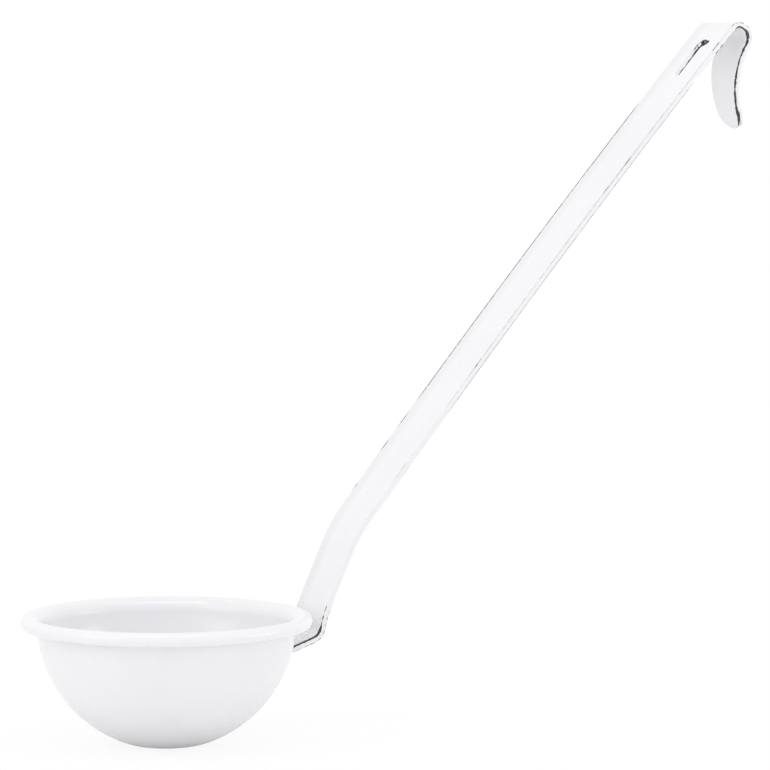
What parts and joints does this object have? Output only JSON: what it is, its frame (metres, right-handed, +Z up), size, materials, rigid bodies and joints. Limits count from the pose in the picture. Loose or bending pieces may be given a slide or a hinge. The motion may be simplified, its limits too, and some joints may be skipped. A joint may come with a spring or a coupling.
{
  "type": "ladle",
  "caption": "White enamelled steel soup ladle: round bowl with a curled rim, bent strip handle with a hanging slot, and a pot hook with a tab at its end.",
  "frame": {"origin": "centre of the flat at the bottom of the bowl, on the bowl's axis", "axes": "+Z up out of the bowl's mouth along its axis, +X towards the handle, which lies in the XZ plane, +Y across the handle's strip"},
  "size_m": [0.3017, 0.1, 0.2473],
  "materials": {
    "enamel": "gloss white fired enamel",
    "steel": "plain sheet steel under the enamel"
  },
  "bodies": {
    "root": {"bowl_pressing": "steel", "handle_strip": "steel", "spot_welds": "steel", "bowl_enamel": "enamel", "handle_enamel": "enamel"}
  },
  "joints": []
}
